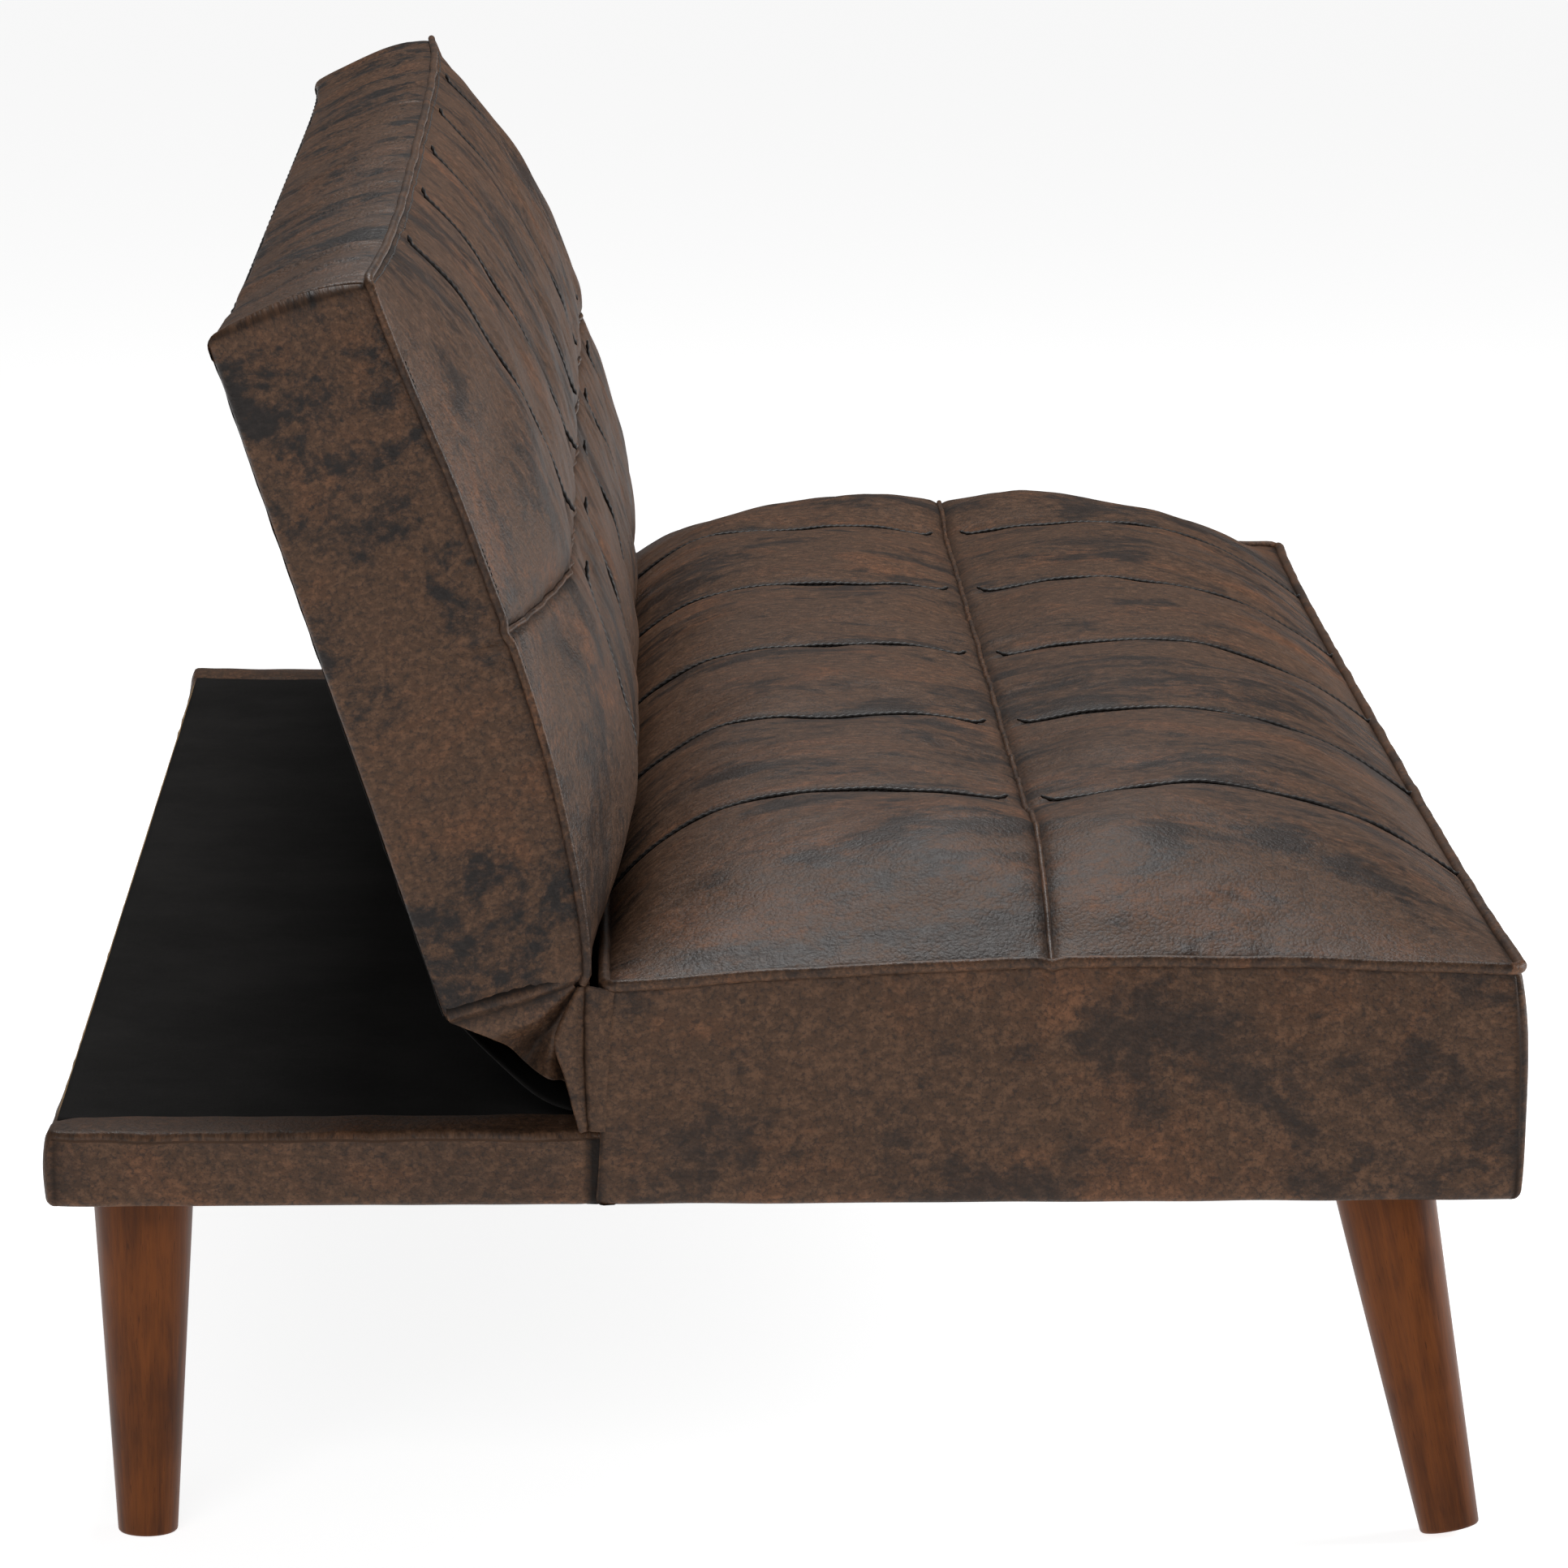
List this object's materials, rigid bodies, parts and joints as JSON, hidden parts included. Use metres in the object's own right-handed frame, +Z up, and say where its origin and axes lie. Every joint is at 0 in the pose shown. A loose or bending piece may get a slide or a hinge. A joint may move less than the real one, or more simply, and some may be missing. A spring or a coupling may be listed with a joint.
{
  "type": "futon sofa bed",
  "caption": "Armless futon sofa bed: channelled seat and backrest in distressed leatherette, low ledge behind, tapered round legs. The backrest folds flat on ratchet hinges.",
  "frame": {"origin": "centre of the footprint, on the floor", "axes": "+X along the sofa, -Y towards the front of the seat, +Y towards the ledge behind it, +Z up"},
  "size_m": [1.68, 0.85, 0.7484],
  "materials": {
    "leatherette": "satin",
    "black_cloth": "matte",
    "leg_wood": "satin",
    "frame_timber": "matte",
    "foam": "matte",
    "hinge_steel": "satin"
  },
  "bodies": {
    "base": {"side_rail_left": "frame_timber", "side_rail_right": "frame_timber", "side_board_left": "frame_timber", "side_board_right": "frame_timber", "front_rail": "frame_timber", "hinge_rail": "frame_timber", "rear_rail": "frame_timber", "centre_rail": "frame_timber", "ledge_bearer": "frame_timber", "seat_slat_1": "frame_timber", "seat_slat_2": "frame_timber", "seat_slat_3": "frame_timber", "seat_slat_4": "frame_timber", "seat_slat_5": "frame_timber", "leg_front_left": "leg_wood", "leg_front_right": "leg_wood", "leg_rear_left": "leg_wood", "leg_rear_right": "leg_wood", "corner_block_front_left": "frame_timber", "corner_block_front_right": "frame_timber", "corner_block_rear_left": "frame_timber", "corner_block_rear_right": "frame_timber", "hanger_bolt_front_left": "hinge_steel", "hanger_bolt_front_right": "hinge_steel", "hanger_bolt_rear_left": "hinge_steel", "hanger_bolt_rear_right": "hinge_steel", "dust_cover": "black_cloth", "ledge_panel": "frame_timber", "ledge_cloth": "black_cloth", "ledge_band": "leatherette", "seat_foam": "foam", "seat_cover": "leatherette", "seat_piping": "leatherette", "seat_mid_welt": "leatherette", "hinge_bracket_left": "hinge_steel", "hinge_bracket_right": "hinge_steel", "hinge_pin_left": "hinge_steel", "hinge_pin_right": "hinge_steel", "pawl_rivet_left": "hinge_steel", "pawl_rivet_right": "hinge_steel", "gusset_left": "leatherette", "gusset_right": "leatherette", "hinge_web": "black_cloth"},
    "backrest": {"back_stile_left": "frame_timber", "back_stile_right": "frame_timber", "back_lower_rail": "frame_timber", "back_upper_rail": "frame_timber", "back_slat_1": "frame_timber", "back_slat_2": "frame_timber", "back_slat_3": "frame_timber", "back_foam": "foam", "back_cover": "leatherette", "back_piping": "leatherette", "back_mid_welt": "leatherette", "back_cloth": "black_cloth", "hinge_arm_left": "hinge_steel", "hinge_arm_right": "hinge_steel"},
    "pawl_left": {"pawl_left": "hinge_steel"},
    "pawl_right": {"pawl_right": "hinge_steel"}
  },
  "joints": [
    {"name": "backrest_recline", "type": "hinge", "parent": "base", "child": "backrest", "pos_m": [0, 0.12572, 0.32375], "axis": [-1, 0, 0], "range_deg": [-8, 71.3], "deforming": ["gusset_left", "gusset_right", "hinge_web"]},
    {"name": "pawl_left_lift", "type": "hinge", "parent": "base", "child": "pawl_left", "pos_m": [-0.8055, 0.1164, 0.28897], "axis": [1, 0, 0], "range_deg": [0, 12], "stiffness_Nm_per_rad": 0.3, "springref_deg": -5.73},
    {"name": "pawl_right_lift", "type": "hinge", "parent": "base", "child": "pawl_right", "pos_m": [0.8055, 0.1164, 0.28897], "axis": [1, 0, 0], "range_deg": [0, 12], "stiffness_Nm_per_rad": 0.3, "springref_deg": -5.73}
  ]
}
